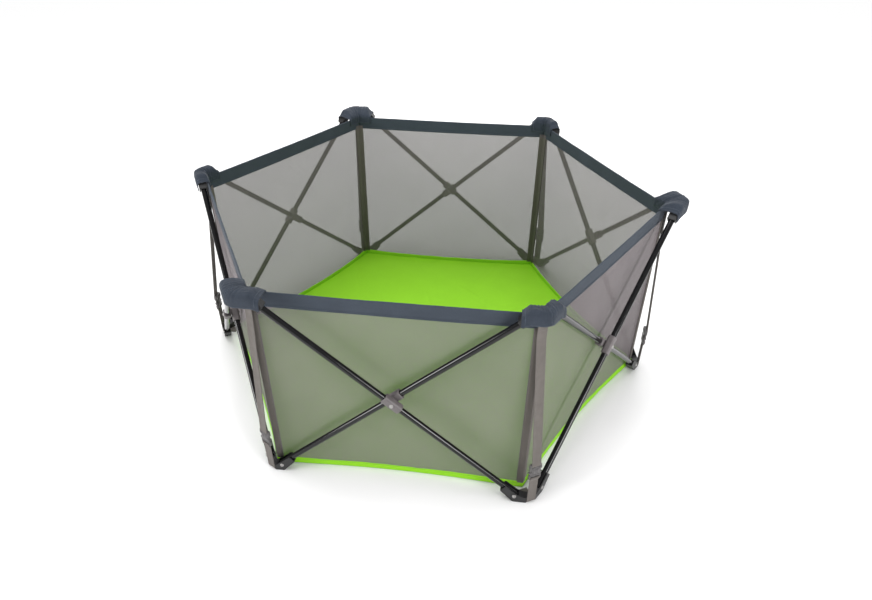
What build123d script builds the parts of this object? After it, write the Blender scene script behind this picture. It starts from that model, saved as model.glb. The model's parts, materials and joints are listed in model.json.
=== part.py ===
from build123d import *

import os
from math import atan2, cos, degrees, hypot, radians, sin, tan

# A travel play yard: a ring of six crossed pairs of leg tubes, held at the corners by moulded feet and
# hubs, with a fabric wall, rim, floor and corner caps. Lengths are in mm. The origin is on the ground
# in the middle of the ring. Corners and faces count anticlockwise seen from above, corner 0 is on +X
# and face n runs from corner n to corner n + 1. Node names count from 1.

os.makedirs("parts", exist_ok=True)

# The ring, measured on the middle plane between the two layers of tubes
corners = range(6)
side = 700.0
pivot_inset = 35.0
foot_pivot_z = 20.0
hub_pivot_z = 570.0
layer_offset = 10.75

# Leg tubes and the collars at each crossing
tube_od = 16.0
tube_wall = 0.9
tube_overrun = 8.0
collar_length = 52.0
collar_thickness = 21.0
collar_height = 24.0
collar_corner_r = 6.5
collar_chamfer = 1.2
collar_bore_gap = 0.05

# Rivets
rivet_r = 3.0
rivet_hole_gap = 0.1
rivet_head_r = 5.5
rivet_head_height = 2.2
rivet_head_taper = 30.0
rivet_head_gap = 0.1

# Corner mouldings
channel_gap = 0.3
cheek = 3.0
channel_floor = 3.2
channel_rim = 0.5
swing_gap = 0.36
saddle_drop = 2.0
saddle_share = 0.62
saddle_r = 5.0
throat_r = 4.0
heel_r = 9.0
arm_end_r = 1.5
foot_arm_reach = 40.0
hub_arm_reach = 36.0
hub_roof_height = 15.0
hub_roof_chamfer = 4.0
flat_width = 27.0
base_toe = 4.0
past_mitre = 20.0

# Straps and buckles
strap_width = 25.0
strap_thickness = 1.5
strap_gap = 0.5
strap_bend_r = 6.5
strap_turn_r = 12.0
strap_wall_gap = 4.05
ground_gap = 0.4
strap_top_z = 562.0
strap_leave_z = 500.0
buckle_width = 34.0
housing_z = (110.0, 144.0)
housing_thickness = 9.0
housing_corner_r = 3.0
tongue_z = (92.0, 108.0)
tongue_thickness = 7.0
tongue_corner_r = 2.5
prong_top_z = 132.0
prong_width = 5.0
prong_spacing = 9.5
prong_play = 1.2
pocket_width = 27.0
pocket_height = 5.2
pocket_top_z = 135.0

# Fabric
wall_offset = -27.0
mesh_thickness = 1.5
band_z = (525.0, 566.0)
band_thickness = 3.0
seam_gap = 0.25
floor_apothem = 576.5
floor_z = (1.0, 3.4)
cap_outside = 27.5
cap_inside = -33.5
cap_z = (546.0, 591.0)
cap_thickness = 2.2
cap_reach = 62.0
cap_top_r = 13.0

# Worked out from those
half_turn = tan(radians(30))
apothem = side / 2 / half_turn
pivot_span = side - 2 * pivot_inset
lean = degrees(atan2(hub_pivot_z - foot_pivot_z, pivot_span))
tube_reach = hypot(pivot_span, hub_pivot_z - foot_pivot_z)
tube_r = tube_od / 2
channel_half = tube_r + channel_gap
arm_half = channel_half + cheek
swing_r = hypot(tube_overrun, tube_r) + swing_gap
collar_face = layer_offset + collar_thickness / 2


def along(face):
    """Unit vector along a face, from its first corner to its second."""
    return Vector(1, 0, 0).rotate(Axis.Z, 120 + 60 * face)


def outward(face):
    """Unit vector straight out of a face."""
    return Vector(1, 0, 0).rotate(Axis.Z, 30 + 60 * face)


def radial(corner):
    """Unit vector from the middle of the ring to a corner."""
    return Vector(1, 0, 0).rotate(Axis.Z, 60 * corner)


def tangent(corner):
    """Unit vector across a corner, towards the face that starts there."""
    return Vector(1, 0, 0).rotate(Axis.Z, 90 + 60 * corner)


def in_face(face, x, z, offset):
    """A point of a face: x from its middle, z up, offset out of the middle plane."""
    return outward(face) * (apothem + offset) + along(face) * x + Vector(0, 0, z)


def leg_layer(face, leg):
    """Offset of a leg's layer. Leg a is outside in every second face, leg b in the others."""
    return layer_offset if (face % 2 == 1) == (leg == "a") else -layer_offset


def corner_layer(corner, is_foot):
    """Offset of a corner moulding: both legs that it holds are in that layer."""
    return layer_offset if (corner % 2 == 1) == is_foot else -layer_offset


def front_r(corner, is_foot):
    """Radius of the flat across the outer edge of a corner moulding."""
    outer_edge = (apothem + corner_layer(corner, is_foot) + arm_half) / cos(radians(30))
    return outer_edge - flat_width / 2 * half_turn


def radial_plane(corner):
    """The upright plane through a corner, with x outwards and y up."""
    return Plane(origin=(0, 0, 0), x_dir=radial(corner), z_dir=-tangent(corner))


def leg_plane(face, leg, start):
    """The plane across a leg at a distance from its foot pivot, looking up the leg."""
    sense = 1 if leg == "a" else -1
    climb = along(face) * sense * cos(radians(lean)) + Vector(0, 0, sin(radians(lean)))
    pivot = in_face(face, -sense * pivot_span / 2, foot_pivot_z, leg_layer(face, leg))
    return Plane(origin=pivot + climb * start, x_dir=outward(face), z_dir=climb)


def cross_plane(face, leg, distance):
    """The plane of a face at a point of a leg's centre line, for holes and rivets."""
    here = leg_plane(face, leg, distance)
    return Plane(origin=here.origin, x_dir=along(face), z_dir=outward(face))


def rivet(plane, low, high):
    """A rivet across a plane, with domed heads outside the two given offsets."""
    with BuildPart() as made:
        with BuildSketch(plane.offset(low - rivet_head_gap)):
            Circle(rivet_r)
        extrude(amount=high - low + 2 * rivet_head_gap)
        for level, sense in ((low - rivet_head_gap, -1), (high + rivet_head_gap, 1)):
            with BuildSketch(plane.offset(level)):
                Circle(rivet_head_r)
            extrude(amount=sense * rivet_head_height, taper=rivet_head_taper)
    return made.part


def strip(face, offset, thickness, z):
    """The level outline of a flat panel along a face, mitred at the corners."""
    inner, outer = apothem + offset - thickness / 2, apothem + offset + thickness / 2
    half_in, half_out = inner * half_turn - seam_gap, outer * half_turn - seam_gap
    with BuildSketch(Plane(origin=(0, 0, z), x_dir=along(face), z_dir=(0, 0, 1))) as outline:
        Polygon((-half_in, -inner), (half_in, -inner), (half_out, -outer), (-half_out, -outer),
                align=None)
    return outline.sketch


def arm_point(distance, height):
    """A point beside the tube's rest line, in an elbow's own plane with the pivot at its origin."""
    c, s = cos(radians(lean)), sin(radians(lean))
    return (distance * c - height * s, distance * s + height * c)


def elbow_side(plane, own_inset, base_depth, reach):
    """Side of an elbow: a block at the corner and one arm under the tube."""
    back = -own_inset - past_mitre
    top = tube_r + channel_rim
    bottom = -channel_half - channel_floor
    with BuildSketch(plane) as outline:
        with BuildLine():
            FilletPolyline(
                (back, -base_depth),
                (base_toe, -base_depth),
                arm_point(reach, bottom),
                arm_point(reach, top),
                arm_point(-2, top),
                (-saddle_share * own_inset, -saddle_drop),
                (back, -saddle_drop),
                radius=[0, heel_r, arm_end_r, arm_end_r, throat_r, saddle_r, 0],
                close=True,
            )
        make_face()
    return outline.sketch


def channel_side(plane, reach):
    """The space that the tube needs between the cheeks, from its rest line to upright."""
    with BuildSketch(plane) as outline:
        with BuildLine():
            Polyline(
                (-swing_r, 0),
                (-swing_r, 4 * tube_od),
                (4 * tube_od, 4 * tube_od),
                arm_point(reach + tube_od, -channel_half),
                arm_point(0, -channel_half),
                close=True,
            )
        make_face()
        Circle(swing_r)
    return outline.sketch


def groove_side(corner):
    """Side of the groove under a foot that the lower strap passes through."""
    front = front_r(corner, True)
    roof = ground_gap + strap_thickness + strap_gap
    bend = strap_bend_r - strap_gap
    with BuildSketch(radial_plane(corner)) as outline:
        with BuildLine():
            Polyline((front, roof + bend), (front + bend, roof + bend), (front + bend, -bend),
                     (front - side / 2, -bend), (front - side / 2, roof), (front - bend, roof))
            RadiusArc((front - bend, roof), (front, roof + bend), -bend)
        make_face()
    return outline.sketch


def buckle_plane(corner, z):
    """A level plane through a buckle, with x outwards."""
    hang_r = front_r(corner, True) + strap_gap + strap_thickness / 2
    return Plane(origin=radial(corner) * hang_r + Vector(0, 0, z), x_dir=radial(corner), z_dir=(0, 0, 1))


# Leg tubes and their collars. The collar of the outside leg carries the crossing rivet.
for face in corners:
    for leg in "ab":
        layer = leg_layer(face, leg)
        crossing = cross_plane(face, leg, tube_reach / 2)
        crossing_rivet = rivet(crossing, -collar_face - layer, collar_face - layer)
        with BuildPart() as leg_tube:
            with BuildSketch(leg_plane(face, leg, -tube_overrun)):
                Circle(tube_r)
                Circle(tube_r - tube_wall, mode=Mode.SUBTRACT)
            extrude(amount=tube_reach + 2 * tube_overrun)
            for distance in (0, tube_reach / 2, tube_reach):
                with BuildSketch(cross_plane(face, leg, distance)):
                    Circle(rivet_r + rivet_hole_gap)
                extrude(amount=tube_od, both=True, mode=Mode.SUBTRACT)
        leg_tube.part.label = f"leg_tube_{face + 1}{leg}"
        export_step(leg_tube.part, f"parts/{leg_tube.part.label}.step")

        with BuildPart() as leg_collar:
            with BuildSketch(leg_plane(face, leg, (tube_reach - collar_length) / 2)):
                RectangleRounded(collar_thickness, collar_height, collar_corner_r)
            extrude(amount=collar_length)
            ends = leg_collar.faces().filter_by(leg_plane(face, leg, 0)).edges()
            chamfer(ends, collar_chamfer)
            with BuildSketch(leg_plane(face, leg, (tube_reach - collar_length) / 2)):
                Circle(tube_r + collar_bore_gap)
            extrude(amount=collar_length, mode=Mode.SUBTRACT)
            with BuildSketch(crossing):
                Circle(rivet_r + rivet_hole_gap)
            extrude(amount=collar_thickness, both=True, mode=Mode.SUBTRACT)
            if layer > 0:
                add(crossing_rivet)
        leg_collar.part.label = f"collar_{face + 1}{leg}"
        export_step(leg_collar.part, f"parts/{leg_collar.part.label}.step")

# Feet, hubs and the rivets through their arms. A hub is an elbow turned over.
for corner in corners:
    before = (corner - 1) % len(corners)
    mitre = Plane(origin=(0, 0, 0), z_dir=tangent(corner))
    for kind in ("foot", "hub"):
        is_foot = kind == "foot"
        layer = corner_layer(corner, is_foot)
        pivot = in_face(corner, -pivot_span / 2, foot_pivot_z if is_foot else hub_pivot_z, layer)
        flank = outward(corner) * (1 if is_foot else -1)
        side_plane = Plane(origin=pivot, x_dir=along(corner), z_dir=flank)
        flat = Plane(origin=radial(corner) * front_r(corner, is_foot), z_dir=radial(corner))
        depth = foot_pivot_z if is_foot else hub_roof_height
        reach = foot_arm_reach if is_foot else hub_arm_reach
        with BuildPart() as elbow:
            extrude(elbow_side(side_plane, pivot_inset + layer * half_turn, depth, reach),
                    amount=arm_half, both=True)
            if not is_foot:
                for side_out in (flank, -flank):
                    shoulder = pivot + side_out * arm_half + Vector(0, 0, hub_roof_height - hub_roof_chamfer)
                    split(bisect_by=Plane(origin=shoulder, z_dir=side_out + Vector(0, 0, 1)),
                          keep=Keep.BOTTOM)
            extrude(channel_side(side_plane, reach), amount=channel_half, both=True,
                    mode=Mode.SUBTRACT)
            with BuildSketch(side_plane):
                Circle(rivet_r + rivet_hole_gap)
            extrude(amount=2 * arm_half, both=True, mode=Mode.SUBTRACT)
            split(bisect_by=mitre, keep=Keep.TOP)
            mirror(about=mitre)
            split(bisect_by=flat, keep=Keep.BOTTOM)
            if is_foot:
                extrude(groove_side(corner), amount=flat_width / 2, both=True, mode=Mode.SUBTRACT)
        elbow.part.label = f"{kind}_{corner + 1}"
        export_step(elbow.part, f"parts/{elbow.part.label}.step")

        at_start = cross_plane(corner, "a", 0) if is_foot else cross_plane(corner, "b", tube_reach)
        at_end = cross_plane(before, "b", 0) if is_foot else cross_plane(before, "a", tube_reach)
        pair = [rivet(plane, -arm_half, arm_half) for plane in (at_start, at_end)]
        with BuildPart() as arm_rivets:
            add(pair)
        arm_rivets.part.label = f"{kind}_rivets_{corner + 1}"
        export_step(arm_rivets.part, f"parts/{arm_rivets.part.label}.step")

# Floor sheet, cut on its fold lines into one gore for each face
for face in corners:
    half_edge = floor_apothem * half_turn - seam_gap / cos(radians(30))
    with BuildPart() as floor_gore:
        with BuildSketch(Plane(origin=(0, 0, floor_z[0]), x_dir=along(face), z_dir=(0, 0, 1))):
            Polygon((-half_edge, -floor_apothem), (half_edge, -floor_apothem), (0, -2 * seam_gap),
                    align=None)
        extrude(amount=floor_z[1] - floor_z[0])
    floor_gore.part.label = f"floor_gore_{face + 1}"
    export_step(floor_gore.part, f"parts/{floor_gore.part.label}.step")

# Mesh walls, from the ground to the rim band
with BuildPart() as mesh_walls:
    for face in corners:
        extrude(strip(face, wall_offset, mesh_thickness, 0), amount=band_z[0] - seam_gap)
mesh_walls.part.label = "mesh_walls"
export_step(mesh_walls.part, "parts/mesh_walls.step")

# Rim band above the mesh
with BuildPart() as rim_bands:
    for face in corners:
        extrude(strip(face, wall_offset, band_thickness, band_z[0]), amount=band_z[1] - band_z[0])
rim_bands.part.label = "rim_bands"
export_step(rim_bands.part, "parts/rim_bands.step")

def cap_side(corner, inset):
    """Across a cap's arm, at its open end: an arch, drawn in by the given inset."""
    end = radial(corner) * side + along(corner) * cap_reach
    low, high, top = cap_inside + inset, cap_outside - inset, cap_z[1] - inset
    radius = cap_top_r - inset
    with BuildSketch(Plane(origin=end, x_dir=outward(corner), z_dir=-along(corner))) as outline:
        with BuildLine():
            FilletPolyline((low, cap_z[0] - inset), (low, top), (high, top), (high, cap_z[0] - inset),
                           radius=[0, radius, radius, 0], close=True)
        make_face()
    return outline.sketch


# Corner caps: fabric hoods over the hubs, open below and at both ends
with BuildPart() as corner_caps:
    for corner in corners:
        mitre = Plane(origin=(0, 0, 0), z_dir=tangent(corner))
        arm = extrude(cap_side(corner, 0), amount=cap_reach + cap_outside, mode=Mode.PRIVATE)
        arm -= extrude(cap_side(corner, cap_thickness), amount=cap_reach + cap_outside,
                       mode=Mode.PRIVATE)
        half = split(arm, bisect_by=mitre, keep=Keep.TOP, mode=Mode.PRIVATE)
        add(half)
        mirror(half, about=mitre)
corner_caps.part.label = "corner_caps"
export_step(corner_caps.part, "parts/corner_caps.step")

# Corner straps: one from under the cap to the buckle, one from the buckle under the foot
with BuildPart() as corner_straps:
    for corner in corners:
        front = front_r(corner, True)
        hang_r = front + strap_gap + strap_thickness / 2
        wall_r = (apothem + wall_offset) / cos(radians(30)) + strap_wall_gap
        low_z = ground_gap + strap_thickness / 2
        bend = strap_bend_r + strap_thickness / 2
        bend_r = front - strap_bend_r + strap_gap
        with BuildSketch(radial_plane(corner)):
            with BuildLine():
                FilletPolyline((wall_r, strap_top_z), (wall_r, strap_leave_z),
                               (hang_r, housing_z[1] + strap_gap), radius=strap_turn_r)
            trace(line_width=strap_thickness)
        extrude(amount=strap_width / 2, both=True)
        with BuildSketch(radial_plane(corner)):
            with BuildLine():
                Line((wall_r, low_z), (bend_r, low_z))
                RadiusArc((bend_r, low_z), (hang_r, low_z + bend), -bend)
                Line((hang_r, low_z + bend), (hang_r, tongue_z[0] - strap_gap))
            trace(line_width=strap_thickness)
        extrude(amount=strap_width / 2, both=True)
corner_straps.part.label = "corner_straps"
export_step(corner_straps.part, "parts/corner_straps.step")


# Side-release buckles: the housing hangs on the upper strap, the tongue is held by the lower one
with BuildPart() as buckle_housings:
    for corner in corners:
        with BuildSketch(buckle_plane(corner, housing_z[0])):
            RectangleRounded(housing_thickness, buckle_width, housing_corner_r)
        extrude(amount=housing_z[1] - housing_z[0])
        with BuildSketch(buckle_plane(corner, housing_z[0])):
            Rectangle(pocket_height, pocket_width)
        extrude(amount=pocket_top_z - housing_z[0], mode=Mode.SUBTRACT)
buckle_housings.part.label = "buckle_housings"
export_step(buckle_housings.part, "parts/buckle_housings.step")

with BuildPart() as buckle_tongues:
    for corner in corners:
        with BuildSketch(buckle_plane(corner, tongue_z[0])):
            RectangleRounded(tongue_thickness, buckle_width, tongue_corner_r)
        extrude(amount=tongue_z[1] - tongue_z[0])
        with BuildSketch(buckle_plane(corner, tongue_z[1])):
            with Locations((0, -prong_spacing), (0, 0), (0, prong_spacing)):
                Rectangle(pocket_height - prong_play, prong_width)
        extrude(amount=prong_top_z - tongue_z[1])
buckle_tongues.part.label = "buckle_tongues"
export_step(buckle_tongues.part, "parts/buckle_tongues.step")
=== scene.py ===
import json
import math

import bmesh
import bpy
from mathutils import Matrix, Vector, noise


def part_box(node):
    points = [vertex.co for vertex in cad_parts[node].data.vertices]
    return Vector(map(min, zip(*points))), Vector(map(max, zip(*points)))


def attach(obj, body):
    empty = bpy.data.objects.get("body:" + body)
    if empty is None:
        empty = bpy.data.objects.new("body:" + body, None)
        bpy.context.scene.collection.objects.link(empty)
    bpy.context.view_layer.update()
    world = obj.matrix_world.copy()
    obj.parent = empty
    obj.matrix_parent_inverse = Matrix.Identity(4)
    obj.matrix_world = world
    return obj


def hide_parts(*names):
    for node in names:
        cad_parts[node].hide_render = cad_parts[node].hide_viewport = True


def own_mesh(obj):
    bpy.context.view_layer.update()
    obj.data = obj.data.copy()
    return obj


# The looks of a folding hexagonal play yard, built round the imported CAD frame. Metres, +Z up.
# Corner c (0 to 5) is at 60 c degrees from +X, and face f runs from corner f to corner f + 1.
# Names of nodes, bodies and pieces count the same corners and faces from 1.

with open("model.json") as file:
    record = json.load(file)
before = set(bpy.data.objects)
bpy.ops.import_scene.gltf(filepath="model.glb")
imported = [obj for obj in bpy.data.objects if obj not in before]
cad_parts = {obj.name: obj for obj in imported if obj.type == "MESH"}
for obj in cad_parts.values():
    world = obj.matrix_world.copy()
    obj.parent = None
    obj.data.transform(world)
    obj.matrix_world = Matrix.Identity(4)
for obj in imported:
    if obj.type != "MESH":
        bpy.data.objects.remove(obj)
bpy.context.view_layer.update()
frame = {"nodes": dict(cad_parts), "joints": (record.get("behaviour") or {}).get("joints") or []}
joints = {j["name"]: j for j in frame["joints"]}

# ---------------------------------------------------------------- sizes taken from the frame
RING = range(6)
TAN30 = math.tan(math.radians(30))
COS30 = math.cos(math.radians(30))
APOTHEM = joints["crossing_2"]["pos_m"][1]
SIDE = 2 * APOTHEM * TAN30
BAND_LOW, BAND_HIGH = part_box("rim_bands")
BAND_THICK = 0.003
WALL = BAND_HIGH.y - BAND_THICK / 2
COLLAR_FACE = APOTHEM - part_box("collar_2b")[0].y
WALL_HALF = WALL * TAN30
FLOOR_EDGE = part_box("floor_gore_2")[1].y
FOOT_FRONT = (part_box("foot_1")[1].x, -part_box("foot_4")[0].x)
HOUSING_LOW, HOUSING_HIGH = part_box("buckle_housings")
TONGUE_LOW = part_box("buckle_tongues")[0]
STRAP_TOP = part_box("corner_straps")[1].z

# ---------------------------------------------------------------- sizes of the soft goods
# The net runs from inside the hem to behind the band. BOW is how far each wall's foot is drawn in.
MESH_LAP = 0.010
MESH_FOOT = 0.008
BOW = (0.022, 0.014, 0.026, 0.012, 0.016, 0.020)
HEM_HEIGHT = 0.020
HEM_THICK = 0.0042
HEM_LAP = 0.0012
HEM_SEW_LEVEL = 0.86
# The seam tape's inner and outer leaves, by how far they lie from the net.
TAPE_WIDTH = 0.015
TAPE_THICK = 0.0010
TAPE_FOOT = 0.018
TAPE_LEAVES = ((-0.0018, "inner"), (0.0014, "outer"))
TAPE_SPOTS = (0.05, 0.33, 0.66, 1.0)
# The rim band sags by BAND_SAG in the middle. Its stitch rows are at these shares of its half height.
BAND_LAP = 0.001
BAND_SAG = 0.0022
BAND_FAT = 0.0019
BAND_SEW_OUT = 0.0021
BAND_SEW_LEVELS = (0.86, 0.72)
CAP_REACH = 0.062
CAP_CLOTH = 0.0022
STRAP_WIDTH = 0.025
STRAP_THICK = 0.0016
STRAP_GAP = 0.0005
STRAP_BEND = 0.00725
STRAP_LEAVE = 0.5
# A stitch's length, the distance from one to the next, and its radius. The ring table gives the place along
# the stitch, the share of the radius and the share of the lift.
STITCH = (0.0034, 0.0050, 0.0005)
STITCH_RINGS = ((0, 0.25, 0.0), (0.25, 1, 0.5), (0.75, 1, 0.5), (1, 0.25, 0.0))
STITCH_SIDES = 6
# A strap's section: share of its half width, and of its thickness. The selvedges are the thicker edges.
STRAP_SECTION_TOP = (
    (-1, 0.35), (-0.985, 0.62), (-0.94, 0.62), (-0.90, 0.5), (0, 0.5),
    (0.90, 0.5), (0.94, 0.62), (0.985, 0.62), (1, 0.35),
)
STRAP_SECTION = STRAP_SECTION_TOP + tuple((x, -t) for x, t in reversed(STRAP_SECTION_TOP))
PATH_STEP = 0.012


# ---------------------------------------------------------------- directions and places
def direction(degrees):
    """Level unit vector at an angle from +X."""
    return Vector((math.cos(math.radians(degrees)), math.sin(math.radians(degrees)), 0))


def along(face):
    return direction(120 + 60 * face)


def outward(face):
    return direction(30 + 60 * face)


def radial(corner):
    return direction(60 * corner)


def tangent(corner):
    return direction(90 + 60 * corner)


def face_point(face, x, depth, z):
    """A point x along a face from its middle, depth out from the middle of the ring."""
    return outward(face) * depth + along(face) * x + Vector((0, 0, z))


def corner_point(corner, r, across, z):
    """A point near a corner: r out from the middle of the ring, across to the side."""
    return radial(corner) * r + tangent(corner) * across + Vector((0, 0, z))


def face_beside(corner, side):
    """The face on a corner's left (side below 0) or right."""
    return corner if side > 0 else (corner - 1) % 6


def smooth(t):
    """From 0 to 1 with level ends."""
    t = min(1.0, max(0.0, t))
    return t * t * (3 - 2 * t)


def ripple(x, y, z, size, seed):
    """Smooth repeatable noise from -1 to 1."""
    return noise.noise(Vector((x / size + 7.3 * seed, y / size - 3.1 * seed, z / size + seed)))


def spread(low, high, count):
    """Evenly spaced values from low to high."""
    return [low + (high - low) * k / (count - 1) for k in range(count)]


def circle(count):
    """The cosine and sine of each of count even steps round a circle."""
    return [(math.cos(2 * math.pi * a / count), math.sin(2 * math.pi * a / count)) for a in range(count)]


def rounded(value, power):
    """A cosine or sine made squarer, so that a ring of them is a rounded oblong."""
    return math.copysign(abs(value) ** power, value)


# ---------------------------------------------------------------- meshes
def put(name, data):
    """A new object in the scene, holding the given data."""
    made = bpy.data.objects.new(name, data)
    bpy.context.scene.collection.objects.link(made)
    return made


def shade_smooth(mesh):
    mesh.polygons.foreach_set("use_smooth", [True] * len(mesh.polygons))


def grid(name, rows, uv, close=False, caps=False):
    """A quad sheet through rows of points, with a cloth coordinate for each point.

    close joins each row's end to its start, caps fills the first and last rows.
    """
    count, width = len(rows), len(rows[0])
    points = [p for row in rows for p in row]
    last = width - 1
    across = width if close else last
    faces = [
        (i * width + j, i * width + (j + 1) % width, (i + 1) * width + (j + 1) % width, (i + 1) * width + j)
        for i in range(count - 1)
        for j in range(across)
    ]
    if caps:
        faces.append(tuple(reversed(range(width))))
        faces.append(tuple(range((count - 1) * width, count * width)))
    mesh = bpy.data.meshes.new(name)
    mesh.from_pydata([tuple(p) for p in points], [], faces)
    layer = mesh.uv_layers.new(name="UVMap")
    for poly in mesh.polygons:
        for loop in poly.loop_indices:
            v = mesh.loops[loop].vertex_index
            i, j = divmod(v, width)
            u, w = uv[i][j]
            if close and j == 0 and any(mesh.loops[k].vertex_index % width == last for k in poly.loop_indices):
                w = uv[i][last][1] + (uv[i][1][1] - uv[i][0][1])
            layer.data[loop].uv = (u, w)
    shade_smooth(mesh)
    return put(name, mesh)


def lengths(points):
    """Distance along a run of points to each of them."""
    total, out = 0.0, [0.0]
    for a, b in zip(points, points[1:]):
        total += (Vector(b) - Vector(a)).length
        out.append(total)
    return out


def flat_uv(rows):
    """Cloth coordinates in metres: along the rows and across them."""
    down = lengths([row[len(row) // 2] for row in rows])
    return [[(d, w) for w in lengths(row)] for d, row in zip(down, rows)]


def join(name, objects):
    """One object made of several, with their materials."""
    bpy.ops.object.select_all(action="DESELECT")
    for o in objects:
        o.select_set(True)
    bpy.context.view_layer.objects.active = objects[0]
    bpy.ops.object.join()
    objects[0].name = name
    objects[0].data.name = name
    return objects[0]


def bake(obj):
    """Apply an object's modifiers."""
    graph = bpy.context.evaluated_depsgraph_get()
    mesh = bpy.data.meshes.new_from_object(obj.evaluated_get(graph))
    obj.modifiers.clear()
    obj.data = mesh
    return obj


def thicken(obj, thickness):
    """Give a sheet its thickness."""
    solid = obj.modifiers.new("thick", "SOLIDIFY")
    solid.thickness, solid.offset, solid.use_even_offset = thickness, 0.0, True
    return bake(obj)


def ribbon(name, path, side, width, thick):
    """A flat strap along a path. side is the unit vector across it."""
    rows = []
    half = width / 2
    for i, p in enumerate(path):
        before, after = path[max(0, i - 1)], path[min(len(path) - 1, i + 1)]
        run = (after - before).normalized()
        up = run.cross(side).normalized()
        rows.append([p + side * (x * half) + up * (t * thick) for x, t in STRAP_SECTION])
    down = lengths(path)
    uv = [[(d, (ring_point - p).dot(side)) for ring_point in ring] for d, p, ring in zip(down, path, rows)]
    return grid(name, rows, uv, close=True, caps=True)


def bent_path(corners, radii, step=0.004):
    """Points along straight runs joined by rounded bends of the given radii."""
    out = [corners[0]]
    for i in range(1, len(corners) - 1):
        a, b, c = corners[i - 1], corners[i], corners[i + 1]
        into, away = (b - a).normalized(), (c - b).normalized()
        turn = into.angle(away)
        reach = radii[i - 1] * math.tan(turn / 2)
        start, end = b - into * reach, b + away * reach
        steps = max(2, math.ceil(radii[i - 1] * turn / step))
        for k in range(steps + 1):
            t = k / steps
            out.append((1 - t) ** 2 * start + 2 * t * (1 - t) * b + t * t * end)
    out.append(corners[-1])
    fine = [out[0]]
    for a, b in zip(out, out[1:]):
        n = max(1, math.ceil((b - a).length / PATH_STEP))
        fine += [a.lerp(b, k / n) for k in range(1, n + 1)]
    return fine


def stitch_row(points, normals, look):
    """A row of sewing stitches laid along a line on a cloth."""
    length, pitch, radius = STITCH
    at = lengths(points)
    verts, faces = [], []
    count = int((at[-1] - length) / pitch)
    for k in range(count):
        ends = []
        for d in (k * pitch + 0.001, k * pitch + 0.001 + length):
            i = min(len(at) - 2, max(j for j in range(len(at)) if at[j] <= d))
            t = (d - at[i]) / max(1e-9, at[i + 1] - at[i])
            ends.append((points[i].lerp(points[i + 1], t), normals[i]))
        run = (ends[1][0] - ends[0][0]).normalized()
        base = len(verts)
        n = ends[0][1]
        side = run.cross(n).normalized()
        for t, r, lift in STITCH_RINGS:
            p = ends[0][0].lerp(ends[1][0], t)
            for a in range(STITCH_SIDES):
                turn = a * 2 * math.pi / STITCH_SIDES
                verts.append(p + n * (lift * radius) + (side * math.cos(turn) + n * math.sin(turn)) * (radius * r))
        for ring in range(len(STITCH_RINGS) - 1):
            low, high = base + ring * STITCH_SIDES, base + (ring + 1) * STITCH_SIDES
            for a in range(STITCH_SIDES):
                b = (a + 1) % STITCH_SIDES
                faces.append((low + a, low + b, high + b, high + a))
        faces.append(tuple(base + a for a in reversed(range(STITCH_SIDES))))
        faces.append(tuple(high + a for a in range(STITCH_SIDES)))
    mesh = bpy.data.meshes.new("sewn")
    mesh.from_pydata([tuple(v) for v in verts], [], faces)
    mesh.uv_layers.new(name="UVMap")
    shade_smooth(mesh)
    return paint(put("sewn", mesh), look)


# ---------------------------------------------------------------- materials
# Where a Mix node keeps its two colours and their mixture.
MIX_A, MIX_B, MIX_COLOUR = 6, 7, 2
# A wave texture's scale for one band per unit.
ONE_BAND = math.pi / 10
NET_PITCH = 0.0017
WEB_RIB = 0.0016
WEAVE = 0.0011
FINE_WEAVE = 0.0009
THREAD = 0.0004


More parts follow.
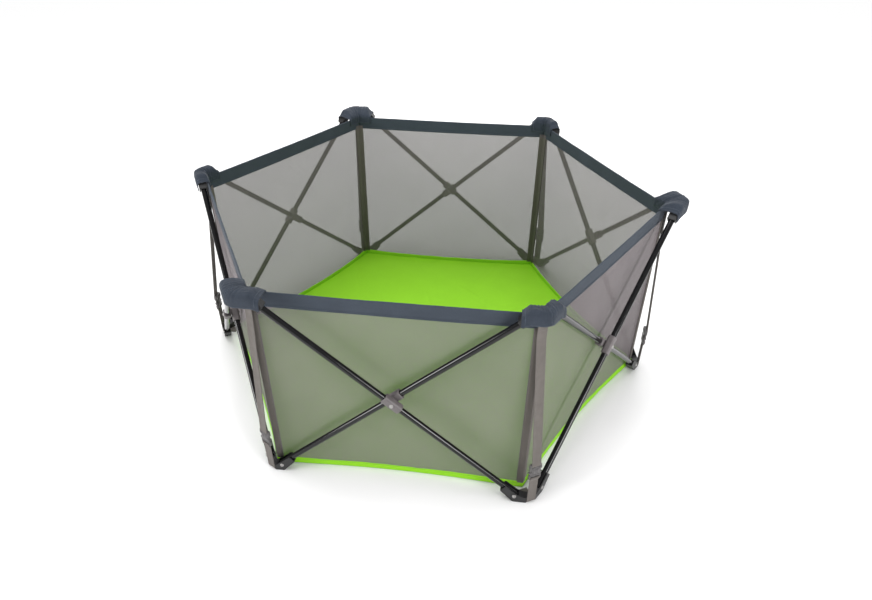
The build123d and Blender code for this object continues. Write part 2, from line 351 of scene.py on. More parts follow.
class Shader:
    """A Principled material and the few node calls that the materials here share."""

    def __init__(self, name, colour, roughness, **values):
        self.material = bpy.data.materials.new(name)
        self.material.use_nodes = True
        self.nodes = self.material.node_tree.nodes
        self.links = self.material.node_tree.links
        self.surface = self.nodes["Principled BSDF"]
        self.surface.inputs["Base Color"].default_value = (*colour, 1)
        self.surface.inputs["Roughness"].default_value = roughness
        for key, value in values.items():
            self.surface.inputs[key.replace("_", " ")].default_value = value

    def node(self, kind, **settings):
        made = self.nodes.new(kind)
        for key, value in settings.items():
            if hasattr(made, key):
                setattr(made, key, value)
            else:
                made.inputs[key.replace("_", " ")].default_value = value
        return made

    def join(self, source, target):
        self.links.new(source, target)

    def place(self, scale=(1, 1, 1), turn=0.0, uv=True):
        """Texture coordinates: cloth metres from the UV map, or the object's own metres."""
        where = self.node("ShaderNodeTexCoord")
        moved = self.node("ShaderNodeMapping")
        moved.inputs["Scale"].default_value = scale
        moved.inputs["Rotation"].default_value = (0, 0, turn)
        self.join(where.outputs["UV" if uv else "Object"], moved.inputs["Vector"])
        return moved.outputs["Vector"]

    def noise(self, vector, scale, detail=3.0, rough=0.5):
        made = self.node("ShaderNodeTexNoise", Scale=scale, Detail=detail, Roughness=rough)
        self.join(vector, made.inputs["Vector"])
        return made.outputs["Fac"]

    def bands(self, vector, axis):
        """Bands of period 1 along an axis of the given coordinates."""
        made = self.node("ShaderNodeTexWave", wave_type="BANDS", bands_direction=axis,
                         wave_profile="SIN", Scale=ONE_BAND)
        self.join(vector, made.inputs["Vector"])
        return made.outputs["Fac"]

    def calc(self, operation, a, b):
        """One arithmetic step between two sockets or numbers."""
        made = self.node("ShaderNodeMath", operation=operation)
        for socket, value in zip(made.inputs, (a, b)):
            if isinstance(value, (int, float)):
                socket.default_value = value
            else:
                self.join(value, socket)
        return made.outputs[0]

    def blend(self, a, b, share):
        """share of one value and the rest of another."""
        return self.calc("ADD", self.calc("MULTIPLY", a, share), self.calc("MULTIPLY", b, 1 - share))

    def ranged(self, value, low, high, to_low, to_high):
        """A value moved from one range to another, and held to it."""
        made = self.node("ShaderNodeMapRange")
        for key, v in (("From Min", low), ("From Max", high), ("To Min", to_low), ("To Max", to_high)):
            made.inputs[key].default_value = v
        self.join(value, made.inputs["Value"])
        return made.outputs["Result"]

    def tint(self, factor, dark, light):
        """Colour between two, by a factor."""
        made = self.node("ShaderNodeMix", data_type="RGBA")
        self.join(factor, made.inputs["Factor"])
        made.inputs[MIX_A].default_value = (*dark, 1)
        made.inputs[MIX_B].default_value = (*light, 1)
        self.join(made.outputs[MIX_COLOUR], self.surface.inputs["Base Color"])

    def rough(self, value):
        self.join(value, self.surface.inputs["Roughness"])

    def bump(self, height, strength, distance):
        made = self.node("ShaderNodeBump", Strength=strength, Distance=distance)
        self.join(height, made.inputs["Height"])
        if self.surface.inputs["Normal"].is_linked:
            self.join(self.surface.inputs["Normal"].links[0].from_socket, made.inputs["Normal"])
        self.join(made.outputs["Normal"], self.surface.inputs["Normal"])


def shade(colour, by):
    return tuple(min(1.0, c * by) for c in colour)


def tube_paint():
    """Gloss black paint on steel tube, with faint orange peel and handling marks."""
    s = Shader("tube_paint", (0.004, 0.004, 0.0045), 0.1, Specular_IOR_Level=0.36)
    space = s.place(uv=False)
    marks = s.noise(space, 55, 5, 0.6)
    s.rough(s.ranged(marks, 0.3, 0.75, 0.06, 0.13))
    s.tint(s.ranged(marks, 0.35, 0.8, 0, 1), (0.0025, 0.0025, 0.003), (0.006, 0.006, 0.0065))
    s.bump(s.noise(space, 420, 2), 0.04, 0.0002)
    return s.material


def moulded(name, colour, roughness, grain=0.35):
    """Moulded plastic with a fine spark-eroded grain and a little wear."""
    s = Shader(name, colour, roughness, Specular_IOR_Level=0.5)
    space = s.place(uv=False)
    cloud = s.noise(space, 38, 4)
    s.tint(s.ranged(cloud, 0.3, 0.7, 0, 1), shade(colour, 0.82), shade(colour, 1.22))
    s.rough(s.ranged(cloud, 0.3, 0.7, roughness - 0.07, roughness + 0.09))
    s.bump(s.noise(space, 1500, 2), grain, 0.00015)
    return s.material


def rivet_steel():
    """Zinc-plated steel, turned on the head."""
    s = Shader("rivet_steel", (0.36, 0.35, 0.34), 0.4, Metallic=1.0)
    space = s.place(uv=False)
    s.rough(s.ranged(s.noise(space, 600, 3), 0.3, 0.7, 0.32, 0.5))
    s.bump(s.noise(space, 900, 2), 0.2, 0.0001)
    return s.material


def woven(name, colour, thread, roughness=0.8, depth=0.35, sheen=0.25, patches=0.25):
    """Plain-weave cloth: warp and weft of the given pitch in metres, over broad uneven dye."""
    s = Shader(name, colour, roughness, Specular_IOR_Level=0.15, Sheen_Weight=sheen, Sheen_Roughness=0.5)
    cloth = s.place(scale=(1 / thread, 1 / thread, 1))
    warp, weft = s.bands(cloth, "X"), s.bands(cloth, "Y")
    half = s.place(scale=(0.5 / thread, 0.5 / thread, 1))
    over = s.calc("MULTIPLY", s.bands(half, "X"), s.bands(half, "Y"))
    height = s.calc("ADD", s.calc("MAXIMUM", warp, weft), s.calc("MULTIPLY", over, 0.6))
    space = s.place(uv=False)
    dye = s.blend(s.noise(space, 14, 4), s.noise(space, 160, 3), 0.65)
    mixed = s.blend(s.ranged(height, 0.4, 1.6, 0, 1), dye, 0.45)
    s.tint(s.ranged(mixed, 0.25, 0.8, 0, 1), shade(colour, 1 - patches), shade(colour, 1 + patches))
    s.bump(height, depth, thread * 0.3)
    s.bump(s.noise(space, 45, 3), 0.25, 0.002)
    return s.material


def webbing():
    """Ribbed polyester webbing: a herringbone of diagonal ribs with plain selvedges."""
    s = Shader("webbing", (0.124, 0.112, 0.102), 0.8, Specular_IOR_Level=0.15, Sheen_Weight=0.1,
               Sheen_Roughness=0.5)
    right = s.place(scale=(1 / WEB_RIB, 1 / WEB_RIB, 1), turn=math.radians(35))
    left = s.place(scale=(1 / WEB_RIB, -1 / WEB_RIB, 1), turn=math.radians(35))
    ribs = s.calc("MAXIMUM", s.bands(right, "X"), s.calc("MULTIPLY", s.bands(left, "X"), 0.8))
    dye = s.noise(s.place(uv=False), 60, 4)
    mixed = s.blend(ribs, dye, 0.5)
    s.tint(s.ranged(mixed, 0.25, 0.8, 0, 1), (0.098, 0.088, 0.080), (0.154, 0.139, 0.128))
    s.bump(ribs, 0.5, 0.0004)
    return s.material


def mesh_net():
    """See-through knitted net: fine square holes between slanting threads, so that it reads as a grey veil."""
    s = Shader("mesh_net", (0.162, 0.143, 0.150), 0.9, Specular_IOR_Level=0.2)
    scale = (1 / NET_PITCH, 1 / NET_PITCH, 1)
    ways = [s.bands(s.place(scale=scale, turn=math.radians(degrees)), "X") for degrees in (45, -45)]
    thread = s.calc("MAXIMUM", *ways)
    cloud = s.noise(s.place(uv=False), 7, 3)
    s.tint(s.ranged(cloud, 0.3, 0.7, 0, 1), (0.151, 0.133, 0.140), (0.172, 0.152, 0.159))
    veil = s.ranged(thread, 0.55, 0.8, 0.63, 0.96)
    s.join(veil, s.surface.inputs["Alpha"])
    s.bump(thread, 0.3, 0.0003)
    return s.material


LOOKS = {
    "tube": tube_paint(),
    "black": moulded("black_plastic", (0.008, 0.008, 0.0085), 0.42),
    "collar": moulded("collar_plastic", (0.120, 0.107, 0.108), 0.5),
    "buckle": moulded("buckle_plastic", (0.085, 0.08, 0.08), 0.4),
    "rivet": rivet_steel(),
    "navy": woven("navy_band", (0.045, 0.056, 0.073), WEAVE, 0.85, 0.45, 0.08),
    "navy_cap": woven("navy_cap", (0.033, 0.042, 0.058), WEAVE, 0.75, 0.45, 0.08, 0.45),
    "navy_thread": woven("navy_thread", (0.07, 0.09, 0.12), THREAD, 0.7, 0.2, 0.2),
    # The floor cloth's satin coating leaves its weave faint and takes the sheen away.
    "green": woven("green_cloth", (0.255, 0.60, 0.021), FINE_WEAVE, 0.6, 0.2, 0.0, 0.08),
    "green_thread": woven("green_thread", (0.12, 0.42, 0.02), THREAD, 0.6, 0.2, 0.2),
    "webbing": webbing(),
    "web_thread": woven("web_thread", (0.2, 0.185, 0.185), THREAD, 0.7, 0.2, 0.2),
    "tape": woven("seam_tape", (0.112, 0.101, 0.090), FINE_WEAVE, 0.85, 0.35, 0.1),
    "net": mesh_net(),
}


def paint(obj, look):
    obj.data.materials.clear()
    obj.data.materials.append(LOOKS[look])
    return obj


# ---------------------------------------------------------------- the CAD nodes that stay
# The looks of the nodes that stay, by how their names start. The first match counts.
NODE_LOOKS = (("leg_tube", "tube"), ("collar", "collar"), ("foot_rivets", "rivet"), ("hub_rivets", "rivet"),
              ("foot", "black"), ("hub", "black"))
# The rivet of a crossing: a little over its radius, and how far its heads clear the collars' faces.
CROSSING_RIVET = 0.0056
CROSSING_HEAD = 0.0002


def dress_frame():
    """Materials for the tubes, collars, corner mouldings and rivets."""
    for name, node in frame["nodes"].items():
        look = next((look for start, look in NODE_LOOKS if name.startswith(start)), None)
        if look is None:
            continue
        paint(node, look)
        if name.startswith("collar"):
            paint_crossing_rivet(node, int(name.split("_")[1][0]) - 1)


def paint_crossing_rivet(node, face):
    """The crossing rivet is a second solid in the outside collar's node: its heads are bare steel."""
    node.data.materials.append(LOOKS["rivet"])
    centre = Vector(joints[f"crossing_{face + 1}"]["pos_m"])
    for poly in node.data.polygons:
        off = poly.center - centre
        out = off.dot(outward(face))
        if (off - outward(face) * out).length < CROSSING_RIVET and abs(out) > COLLAR_FACE + CROSSING_HEAD:
            poly.material_index = 1


# ---------------------------------------------------------------- mesh walls
def belly(x):
    """From 1 in the middle of a wall to 0 at its corners."""
    return max(0.0, 1 - (x / WALL_HALF) ** 2)


def bow(face, x, z):
    """How far the foot of a wall is drawn in between its corners."""
    return BOW[face] * belly(x) * (1 - z / BAND_LOW.z) ** 2


def wall_place(face, x, z):
    """A point of a wall's net, with the slight unevenness of stretched cloth."""
    uneven = 0.0012 * belly(x) * ripple(x, z, face, 0.16, 3)
    return face_point(face, x, WALL - bow(face, x, z) + uneven, z)


def gather(piece):
    """Gives a face's cloth a mesh of its own."""
    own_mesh(piece)


def mesh_wall(face):
    """One panel of net, from behind the rim band to the green hem."""
    hem = floor_hem(face)
    levels = spread(MESH_FOOT, BAND_LOW.z + MESH_LAP, 31)
    rows = [[wall_place(face, x, z) for x in spread(-WALL_HALF, WALL_HALF, 41)] for z in levels]
    wall = grid(f"mesh_wall_{face + 1}", rows, flat_uv(rows))
    paint(wall, "net")
    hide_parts("mesh_walls")
    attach(wall, f"corner_hub_{face + 1}")
    gather(wall)


def floor_hem(face):
    """The floor cloth's turned-up edge, sewn to the foot of the net as a soft rolled hem."""
    rows = []
    stations = spread(-WALL_HALF - HEM_LAP, WALL_HALF + HEM_LAP, 61)
    for x in stations:
        ring = []
        lift = 0.0012 + 0.004 * (abs(x) / WALL_HALF) ** 6
        height = HEM_HEIGHT * (1 + 0.06 * ripple(x, 0, 0, 0.05, face))
        for c, s in circle(14):
            fat = HEM_THICK * (0.62 - 0.16 * s)
            depth = WALL - bow(face, x, 0) + rounded(c, 0.7) * fat
            depth += 0.0008 * ripple(x, s, 0, 0.03, face + 9)
            z = lift + height / 2 + rounded(s, 0.6) * height / 2
            ring.append(face_point(face, x, depth, z))
        rows.append(ring)
    hem = grid(f"floor_hem_{face + 1}", rows, flat_uv(rows), close=True, caps=True)
    paint(hem, "green")
    edge = [face_point(face, x, WALL - bow(face, x, 0) + HEM_THICK * 0.5, HEM_HEIGHT * HEM_SEW_LEVEL)
            for x in stations]
    sewn = stitch_row(edge, [outward(face)] * len(edge), "green_thread")
    hem = join(f"floor_hem_{face + 1}", [hem, sewn])
    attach(hem, f"corner_hub_{face + 1}")
    gather(hem)
    return hem


def seam_tape(corner):
    """Binding tape folded round the upright seam where two walls meet, inside and out."""
    made = []
    levels = spread(TAPE_FOOT, BAND_LOW.z + MESH_LAP, 25)
    for off, name in TAPE_LEAVES:
        depth = WALL + off
        rows = []
        for z in levels:
            row = []
            for side in (-1, 1):
                face = face_beside(corner, side)
                for share in TAPE_SPOTS[::side]:
                    x = -side * (depth * TAN30 - TAPE_WIDTH * share)
                    uneven = 0.0003 * ripple(x, z, 0, 0.02, corner)
                    row.append(face_point(face, x, depth - bow(face, x, z) + uneven, z))
            rows.append(row)
        made.append(thicken(grid(name, rows, flat_uv(rows)), TAPE_THICK))
    tape = paint(join(f"seam_tape_{corner + 1}", made), "tape")
    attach(tape, f"corner_hub_{corner + 1}")


# ---------------------------------------------------------------- rim band
def rim_band(face):
    """The folded band sewn over the top of the net, with two rows of stitching near its foot."""
    rows, fronts = [], []
    middle, half = (BAND_LOW.z + BAND_HIGH.z) / 2, (BAND_HIGH.z - BAND_LOW.z) / 2
    reach = WALL_HALF + BAND_LAP
    for x in spread(-reach, reach, 71):
        drop = BAND_SAG * (1 - (x / reach) ** 2)
        lean = 0.0012 * ripple(x, 0, 0, 0.12, face + 20)
        ring = []
        for c, s in circle(22):
            up = rounded(s, 0.45)
            fat = BAND_FAT * (1 + 0.25 * smooth((up - 0.55) / 0.4) + 0.2 * math.cos(6 * up))
            depth = WALL + rounded(c, 0.55) * fat + lean * up
            depth += 0.0006 * ripple(x, up * 0.03, 0, 0.018, face + 30)
            ring.append(face_point(face, x, depth, middle - drop + up * half))
        rows.append(ring)
        fronts.append((x, drop, lean))
    band = paint(grid(f"rim_band_{face + 1}", rows, flat_uv(rows), close=True, caps=True), "navy")
    parts = [band]
    for side in (1, -1):
        for level in BAND_SEW_LEVELS:
            line = [face_point(face, x, WALL + side * BAND_SEW_OUT - lean * level, middle - drop - level * half)
                    for x, drop, lean in fronts]
            parts.append(stitch_row(line, [outward(face) * side] * len(line), "navy_thread"))
    band = join(band.name, parts)
    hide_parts("rim_bands")
    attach(band, f"corner_hub_{face + 1}")
    gather(band)


# ---------------------------------------------------------------- corner caps
# Sections across a cap, in millimetres: out from the ring of pivots and up, from the foot of the inside over the
# top to the foot of the outside. Each pair is the section over the hub and the one at the end of an arm.
# The first pair is for hubs of the outer layer, the second for hubs of the inner layer.
CAP_SECTIONS = (
    (
        ((-31.2, 545), (-31.6, 557), (-31.2, 567), (-28.0, 574), (-20.0, 580.5), (-8.0, 586.5), (3.0, 589.6),
         (14.0, 589.8), (22.5, 587.0), (26.8, 580), (27.4, 571), (27.2, 562), (26.4, 554)),
        ((-31.2, 545), (-31.6, 553), (-31.6, 560), (-30.6, 566.8), (-27.0, 569.4), (-16.0, 570.2), (-4.0, 571.2),
         (8.0, 571.8), (17.0, 571.4), (22.8, 569.0), (25.4, 564), (25.9, 557), (25.4, 549)),
    ),
    (
        ((-31.2, 545), (-31.7, 557), (-31.6, 568), (-30.4, 578), (-27.4, 585), (-22.0, 589.0), (-15.0, 590.0),
         (-7.0, 589.6), (-0.5, 587.2), (4.2, 581), (5.9, 572), (6.0, 563), (5.4, 555)),
        ((-31.2, 545), (-31.6, 553), (-31.7, 560), (-31.0, 567), (-28.0, 570.2), (-21.0, 571.3), (-14.0, 571.6),
         (-7.0, 571.4), (-1.0, 569.8), (3.4, 565.5), (4.5, 558.5), (4.4, 552), (4.0, 547)),
    ),
)
# The cap's innermost face, then places along a cap as shares of the way from its middle to an arm's end: where
# the turn ends, where the sections begin to change, the hem, the rows of stitches across, and the rows along.
CAP_IN = -0.0335
CAP_TURN = 0.34
CAP_CHANGE = 0.74
CAP_HEM = 0.87
CAP_SEW_ACROSS = (-0.90, -0.045, 0.045, 0.90)
CAP_SEW_ALONG = ((-0.9, -0.07), (0.07, 0.9))
# The middle of a sleeve, out from the ring of pivots for each layer, and its height.
CAP_CORE = (-0.002, -0.012)
CAP_CORE_Z = 0.566


def cap_place(corner, t, off, z):
    """A point of a cap. t from -1 to 1 goes from the end of one arm round the corner to the end of the other."""
    turn_r = 0.006 + 0.35 * (off - CAP_IN)
    if abs(t) <= CAP_TURN:
        turn = 30 * t / CAP_TURN
        centre = radial(corner) * ((APOTHEM + off - turn_r) / COS30)
        return centre + direction(60 * corner + turn) * turn_r + Vector((0, 0, z))
    face = face_beside(corner, t)
    share = (abs(t) - CAP_TURN) / (1 - CAP_TURN)
    start = (APOTHEM + off - turn_r) * TAN30
    x = start + (SIDE / 2 - CAP_REACH - start) * share
    return face_point(face, -x if t > 0 else x, APOTHEM + off, z)


def through(knots, steps):
    """A smooth flat curve through knots, with its outward normals, steps points from each knot to the next."""
    points = []
    padded = [2 * knots[0] - knots[1], *knots, 2 * knots[-1] - knots[-2]]
    for k in range(len(knots) - 1):
        a, b, c, d = padded[k:k + 4]
        for n in range(steps + (k == len(knots) - 2)):
            u = n / steps
            points.append(0.5 * (2 * b + (c - a) * u + (2 * a - 5 * b + 4 * c - d) * u**2
                                 + (3 * b - a - 3 * c + d) * u**3))
    normals = []
    for k in range(len(points)):
        run = points[min(k + 1, len(points) - 1)] - points[max(k - 1, 0)]
        normals.append(Vector((-run.y, run.x)).normalized())
    return points, normals


def hump(x, middle, width):
    """1 at the middle, falling away to nothing on both sides."""
    return math.exp(-(((x - middle) / width) ** 2))


def cap_profile(corner, t, inset):
    """Across a cap at t, from the foot of its inside round over the top to the foot of its outside."""
    over_hub, at_end = CAP_SECTIONS[corner % 2]
    mix = smooth((abs(t) - CAP_CHANGE) / (1 - CAP_CHANGE))
    knots = [Vector(a).lerp(Vector(b), mix) / 1000 for a, b in zip(over_hub, at_end)]
    knots[-1].y -= 0.0025 * smooth((abs(t) - 0.1) / 0.3)
    seam = hump(t, 0, 0.03) - 0.7 * hump(abs(t), 0.07, 0.03)
    hem = smooth((abs(t) - CAP_HEM) / 0.02) - 0.8 * hump(abs(t), CAP_HEM - 0.02, 0.018)
    points, normals = through(knots, 4)
    placed = []
    for k, (p, n) in enumerate(zip(points, normals)):
        share = k / (len(points) - 1)
        fold = 0.0022 * max(-0.3, ripple(7 * share, t * 0.16, 0, 0.024, corner + 40))
        fold += 0.0012 * hump(abs(t), 0.40, 0.12) * math.sin(55 * t + 7 * share)
        fold *= math.sin(math.pi * min(1.0, 0.12 + share)) ** 0.5
        q = p + n * (0.0007 * seam + 0.0005 * hem + fold - inset)
        placed.append(cap_place(corner, t, q.x, q.y))
    return placed


def corner_cap(corner):
    """The cloth cap over a corner hub: two sleeves sewn together at the corner, open underneath.

    It works out its flat size, the girth of a sleeve and the run along the top, but nothing uses them.
    """
    rows = []
    for t in spread(-1, 1, 77):
        outside, inside = cap_profile(corner, t, 0), cap_profile(corner, t, CAP_CLOTH)
        rows.append(outside + inside[::-1])
    cap = paint(grid(f"corner_cap_{corner + 1}", rows, flat_uv(rows), close=True, caps=True), "navy_cap")
    parts = [cap]
    for t in CAP_SEW_ACROSS:
        line = cap_profile(corner, t, 0)[1:-1]
        middle = cap_place(corner, t, CAP_CORE[corner % 2], CAP_CORE_Z)
        parts.append(stitch_row(line, [(p - middle).normalized() for p in line], "navy_thread"))
    for start, end in CAP_SEW_ALONG:
        for knot, way in ((-2, 1), (1, -1)):
            line = [cap_profile(corner, t, 0)[knot] for t in spread(start, end, 21)]
            out_way = outward(face_beside(corner, end)) * way
            parts.append(stitch_row(line, [out_way] * len(line), "navy_thread"))
    girth, run = lengths(cap_profile(corner, 0.5, 0))[-1], lengths([row[24] for row in rows])[-1]
    cap = join(cap.name, parts)
    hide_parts("corner_caps")
    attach(cap, f"corner_hub_{corner + 1}")


# ---------------------------------------------------------------- corner straps and buckles
# The strap's middle plane lies STRAP_OFF outside the seam and, under the foot, STRAP_CLEAR over the ground.
STRAP_OFF = 0.00405
STRAP_CLEAR = 0.0004
STRAP_R = WALL / COS30 + STRAP_OFF
STRAP_LOW = STRAP_CLEAR + STRAP_THICK / 2
# The tacks of the upper strap: how far below its end, from one row to the next, and their half width.
TACK_DOWN = 0.026
TACK_ROWS = (0, 0.012)
TACK_HALF = 0.010
# The slots of a buckle's ladder, up from its foot, and a depth that cuts right through a buckle.
LADDER_SLOTS = ((0.0022, 0.0048), (0.0080, 0.0106))
THROUGH = 0.02


def hang_r(corner):
    """How far out the buckle hangs, which is in front of its foot."""
    return FOOT_FRONT[corner % 2] + STRAP_GAP + STRAP_THICK / 2


def upper_strap(corner):
    """From under the cap down the corner seam, then out and round the bar of the buckle's housing."""
    top = HOUSING_HIGH.z
    path = bent_path(
        [
            corner_point(corner, STRAP_R, 0, STRAP_TOP),
            corner_point(corner, STRAP_R, 0, STRAP_LEAVE),
            corner_point(corner, hang_r(corner) + 0.0035, 0, top + 0.001),
            corner_point(corner, hang_r(corner) + 0.0048, 0, top - 0.0045),
        ],
        [0.012, 0.010],
    )
    strap = ribbon(f"upper_strap_{corner + 1}", path, tangent(corner), STRAP_WIDTH, STRAP_THICK)
    paint(strap, "webbing")
    side = tangent(corner)
    tack = [path[0] - Vector((0, 0, TACK_DOWN)) + side * s + radial(corner) * STRAP_THICK * 0.5
            for s in spread(-TACK_HALF, TACK_HALF, 9)]
    sewn = [stitch_row([p - Vector((0, 0, drop)) for p in tack], [radial(corner)] * len(tack), "web_thread")
            for drop in TACK_ROWS]
    strap = join(strap.name, [strap] + sewn)
    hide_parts("corner_straps")
    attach(strap, f"corner_hub_{corner + 1}")


def lower_strap(corner):
    """From the buckle's tongue down the front of the foot and back under it to the floor cloth."""
    front = hang_r(corner)
    path = bent_path(
        [
            corner_point(corner, front + 0.0042, 0, TONGUE_LOW.z + 0.0085),
            corner_point(corner, front + 0.0042, 0, TONGUE_LOW.z + 0.001),
            corner_point(corner, front, 0, TONGUE_LOW.z - 0.006),
            corner_point(corner, front, 0, STRAP_LOW),
            corner_point(corner, STRAP_R, 0, STRAP_LOW),
        ],
        [0.004, 0.006, STRAP_BEND],
        step=0.0012,
    )
    strap = ribbon(f"lower_strap_{corner + 1}", path, tangent(corner), STRAP_WIDTH, STRAP_THICK)
    paint(strap, "webbing")
    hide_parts("corner_straps")
    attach(strap, f"corner_foot_{corner + 1}")


def moulding(bm, round_by):
    """An object from a closed bmesh, with its sharp edges rounded."""
    bmesh.ops.recalc_face_normals(bm, faces=bm.faces)
    mesh = bpy.data.meshes.new("moulding")
    bm.to_mesh(mesh)
    bm.free()
    made = put("moulding", mesh)
    if round_by:
        bevel = made.modifiers.new("round", "BEVEL")
        bevel.width, bevel.segments, bevel.limit_method, bevel.harden_normals = round_by, 3, "ANGLE", True
        bake(made)
    shade_smooth(made.data)
    return made


def block(corner, across, out, up, round_by=0.0):
    """A moulded block near a buckle: across, out and up are its low and high sides."""
    bm = bmesh.new()
    corners = [bm.verts.new(corner_point(corner, r, a, z)) for z in up for r in out for a in across]
    for quad in ((0, 1, 3, 2), (4, 6, 7, 5), (0, 4, 5, 1), (2, 3, 7, 6), (0, 2, 6, 4), (1, 5, 7, 3)):
        bm.faces.new([corners[k] for k in quad])
    return moulding(bm, round_by)


def plate(corner, outline, out, round_by):
    """A moulded plate: an upright outline of (across, up) points, thick from out's low to its high radius."""
    bm = bmesh.new()
    back = [bm.verts.new(corner_point(corner, out[0], a, z)) for a, z in outline]
    front = [bm.verts.new(corner_point(corner, out[1], a, z)) for a, z in outline]
    bm.faces.new(back)
    bm.faces.new(front[::-1])
    for k in range(len(outline)):
        n = (k + 1) % len(outline)
        bm.faces.new((back[k], front[k], front[n], back[n]))
    return moulding(bm, round_by)


def cut(made, corner, across, up, depth):
    """Take a block out of a buckle's solid. depth is how far the block reaches each way from the buckle's plane."""
    r = hang_r(corner)
    cutter = block(corner, across, (r - depth, r + depth), up)
    carve = made.modifiers.new("cut", "BOOLEAN")
    carve.operation, carve.solver, carve.object = "DIFFERENCE", "EXACT", cutter
    bake(made)
    bpy.data.objects.remove(cutter)


def mirrored(points):
    """An outline from its right half, read upwards."""
    return points + [(-a, z) for a, z in reversed(points)]


def buckle_housing(corner):
    """The female half: a flat pocket whose open sides show the prongs, under a bar for the strap."""
    r, low, high = hang_r(corner), HOUSING_LOW.z, HOUSING_HIGH.z
    half = 0.017
    outline = mirrored([
        (0.0150, low), (half, low + 0.0025), (half, low + 0.0070), (0.0125, low + 0.0085),
        (0.0115, low + 0.0125), (0.0125, low + 0.0170), (half, low + 0.0190), (half, low + 0.0240),
        (0.0160, low + 0.0275), (0.0160, high - 0.002), (0.0145, high),
    ])
    body = plate(corner, outline, (r - 0.0045, r + 0.0045), 0.0016)
    cut(body, corner, (-0.0130, 0.0130), (high - 0.0080, high - 0.0040), THROUGH)
    cut(body, corner, (-0.0135, 0.0135), (low - 0.01, low + 0.0225), 0.0026)
    parts = [body]
    for side in (-1, 1):
        a, b = sorted((side * 0.0035, side * 0.0080))
        parts.append(block(corner, (a, b), (r + 0.0040, r + 0.0051), (low + 0.004, low + 0.020), 0.0005))
    parts.append(block(corner, (-0.0145, 0.0145), (r + 0.0038, r + 0.0050), (low + 0.0225, low + 0.0240), 0.0005))
    for part in parts:
        paint(part, "buckle")
    housing = join(f"buckle_housing_{corner + 1}", parts)
    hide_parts("buckle_housings")
    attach(housing, f"corner_hub_{corner + 1}")


def buckle_tongue(corner):
    """The male half: a ladder for the strap, two springy prongs and a guide between them."""
    r, low = hang_r(corner), TONGUE_LOW.z
    root = low + 0.016
    ladder = plate(
        corner,
        mirrored([(0.0145, low), (0.0165, low + 0.002), (0.0170, root - 0.003), (0.0155, root)]),
        (r - 0.0035, r + 0.0035), 0.0014,
    )
    for foot, head in LADDER_SLOTS:
        cut(ladder, corner, (-0.0132, 0.0132), (low + foot, low + head), THROUGH)
    parts = [ladder]
    top = HOUSING_LOW.z + 0.0175
    for side in (-1, 1):
        prong = [(0.0105, root - 0.001), (0.0135, root - 0.001), (0.0128, HOUSING_LOW.z + 0.006),
                 (0.0150, HOUSING_LOW.z + 0.0095), (0.0162, top - 0.003), (0.0135, top), (0.0105, top - 0.001)]
        prong = [(side * a, z) for a, z in prong]
        parts.append(plate(corner, prong, (r - 0.0022, r + 0.0022), 0.0006))
    guide = mirrored([(0.0022, root - 0.001), (0.0018, top + 0.001)])
    parts.append(plate(corner, guide, (r - 0.0020, r + 0.0020), 0.0005))
    for part in parts:
        paint(part, "buckle")
    tongue = join(f"buckle_tongue_{corner + 1}", parts)
    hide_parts("buckle_tongues")
    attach(tongue, f"corner_foot_{corner + 1}")


# ---------------------------------------------------------------- floor
FLOOR_BASE = 0.0022
FLOOR_TURN_UP = 0.005
FLOOR_STEPS = 46
SLOPE_STEP = 0.001
# Creases left by folding: the way across each, its place from the middle, and its height.
FOLD_LINES = (
    (18, 0.055, 0.0016), (18, -0.19, 0.0011), (-62, 0.12, 0.0014), (-62, -0.11, 0.0010), (75, 0.03, 0.0015),
    (75, -0.27, 0.0009), (-25, 0.25, 0.0012), (-25, -0.05, 0.0013), (48, 0.33, 0.0010),
)


def floor_height(x, y):
    """Height of the floor cloth over its base: soft swells, and the crooked creases that folding leaves."""
    reach = math.hypot(x, y) / SIDE
    high = 0.0011 * (1 + ripple(x, y, 0, 0.21, 5)) + 0.0005 * (1 + ripple(x, y, 0, 0.07, 6))
    for degrees, place, size in FOLD_LINES:
        n = direction(degrees)
        off = n.x * x + n.y * y - place + 0.014 * ripple(x, y, 0, 0.18, degrees)
        strength = max(0.0, 0.25 + ripple(x, y, 0, 0.24, degrees + 3))
        high += 2.2 * size * strength * math.exp(-((off / 0.007) ** 2))
    return high * (1 - 0.75 * smooth((reach - 0.72) / 0.25))


def floor_panel(face):
    """One sixth of the floor cloth, from its edge at the wall to the middle."""
    rows = []
    for i in range(FLOOR_STEPS + 1):
        share = i / FLOOR_STEPS
        row = []
        for k in range(2 * FLOOR_STEPS + 1):
            u = k / FLOOR_STEPS - 1
            depth = share * (FLOOR_EDGE - BOW[face] * (1 - u * u) * share**2)
            spot = face_point(face, u * share * FLOOR_EDGE * TAN30, depth, 0)
            turned_up = FLOOR_TURN_UP * smooth((share - 0.975) / 0.025) ** 2
            row.append(spot + Vector((0, 0, FLOOR_BASE + floor_height(spot.x, spot.y) + turned_up)))
        rows.append(row)
    uv = [[(p.x, p.y) for p in row] for row in rows]
    panel = grid(f"floor_panel_{face + 1}", rows, uv)
    weld(panel)
    level_normals(panel)
    paint(panel, "green")
    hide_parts(f"floor_gore_{face + 1}")
    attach(panel, f"floor_{face + 1}")
    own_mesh(panel)


def weld(obj):
    """Merge the points that lie on each other, and turn the faces upwards."""
    bm = bmesh.new()
    bm.from_mesh(obj.data)
    bmesh.ops.remove_doubles(bm, verts=bm.verts, dist=1e-6)
    bmesh.ops.recalc_face_normals(bm, faces=bm.faces)
    if sum(f.normal.z for f in bm.faces) < 0:
        bmesh.ops.reverse_faces(bm, faces=bm.faces)
    bm.to_mesh(obj.data)
    bm.free()


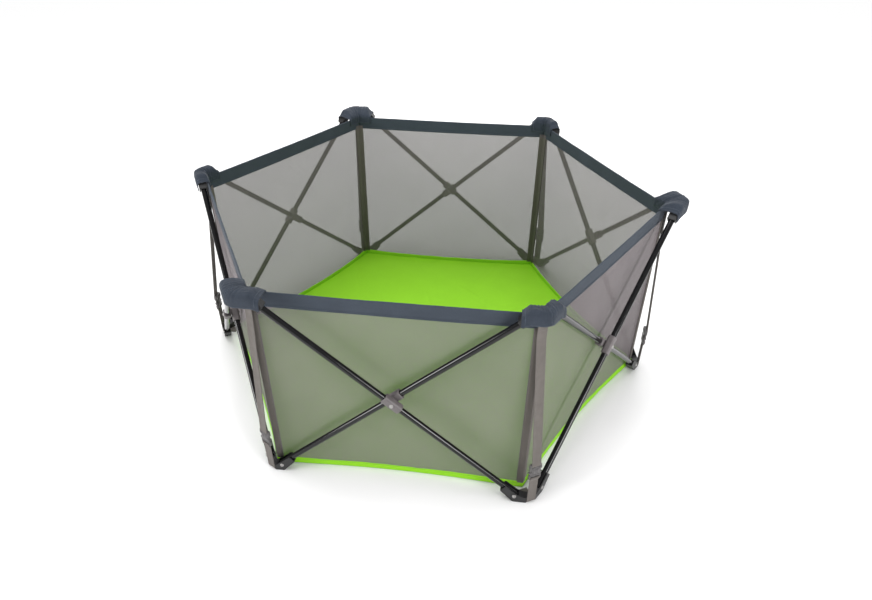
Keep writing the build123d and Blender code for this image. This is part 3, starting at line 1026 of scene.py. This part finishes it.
def level_normals(obj):
    """Normals worked out from the floor's height, so that no line shows where two panels meet."""
    step = SLOPE_STEP
    normals = []
    for v in obj.data.vertices:
        x, y = v.co.x, v.co.y
        slope_x = (floor_height(x + step, y) - floor_height(x - step, y)) / (2 * step)
        slope_y = (floor_height(x, y + step) - floor_height(x, y - step)) / (2 * step)
        normals.append(Vector((-slope_x, -slope_y, 1)).normalized())
    obj.data.normals_split_custom_set_from_vertices(normals)


# ---------------------------------------------------------------- camera, light and ground
# The photo's camera, fitted to the rim, the crossings, the feet and the floor's corners.
LENS_MM, SENSOR_MM = 28.0, 36
SHIFT = (0.0097, 0.0528)
AZIMUTH, ELEVATION, DISTANCE = math.radians(8.0), math.radians(37.6), 2.3
FAR = 60
GROUND_HALF = 14
AIM = Vector((0, 0, 0.25))
SKY_WAY = Vector((0.12, -0.18, -0.97))
# Each softbox: place, size and watts. The two low ones in front draw the bright lines down the tubes.
SOFTBOXES = {
    "overhead": ((-0.2, 0.3, 3.2), (1.0, 1.0), 20),
    "left_box": ((-2.93, -1.9, 1.08), (1.2, 1.2), 66),
    "right_box": ((2.57, -2.42, 1.23), (1.2, 1.2), 66),
    "back_box": ((0.2, 2.9, 1.7), (2.4, 0.8), 34),
}


def camera():
    """The photo's viewpoint."""
    data = bpy.data.cameras.new("camera")
    data.lens, data.sensor_width, data.clip_end = LENS_MM, SENSOR_MM, FAR
    data.shift_x, data.shift_y = SHIFT
    made = put("camera", data)
    level = math.cos(ELEVATION)
    made.location = DISTANCE * Vector((math.sin(AZIMUTH) * level, -math.cos(AZIMUTH) * level, math.sin(ELEVATION)))
    made.rotation_euler = (math.radians(90) - ELEVATION, 0, AZIMUTH)
    bpy.context.scene.camera = made


def turned_to(way):
    """The turn that points a light along a direction."""
    return way.to_track_quat("-Z", "Y").to_euler()


def softbox(name, place, size, watts):
    """A rectangular area light aimed at the yard, unseen by the camera."""
    data = bpy.data.lights.new(name, "AREA")
    data.shape, data.size, data.size_y, data.energy = "RECTANGLE", size[0], size[1], watts
    made = put(name, data)
    made.location = place
    made.rotation_euler = turned_to(AIM - Vector(place))
    made.visible_camera = False


def ground():
    """The white sweep that the yard stands on."""
    mesh = bpy.data.meshes.new("ground")
    low, high = -GROUND_HALF, GROUND_HALF
    mesh.from_pydata([(low, low, 0), (high, low, 0), (high, high, 0), (low, high, 0)], [], [(0, 1, 2, 3)])
    made = put("ground", mesh)
    made.data.materials.append(Shader("ground", (0.88, 0.88, 0.88), 0.9, Specular_IOR_Level=0.1).material)


def studio():
    """A bright even room: white world, a broad soft sun and four softboxes."""
    world = bpy.data.worlds.new("studio")
    world.use_nodes = True
    world.node_tree.nodes["Background"].inputs["Color"].default_value = (1, 1, 1, 1)
    world.node_tree.nodes["Background"].inputs["Strength"].default_value = 0.5
    scene = bpy.context.scene
    scene.world = world
    scene.view_settings.view_transform = "Standard"
    scene.cycles.use_denoising = True
    scene.cycles.transparent_max_bounces = 24
    sun = bpy.data.lights.new("sky_dome", "SUN")
    sun.energy, sun.angle = 2.0, math.radians(50)
    put("sky_dome", sun).rotation_euler = turned_to(SKY_WAY)
    for name, (place, box_size, watts) in SOFTBOXES.items():
        softbox(name, place, box_size, watts)


dress_frame()
for n in RING:
    mesh_wall(n)
    seam_tape(n)
    rim_band(n)
    corner_cap(n)
    upper_strap(n)
    lower_strap(n)
    buckle_housing(n)
    buckle_tongue(n)
    floor_panel(n)
camera()
ground()
studio()
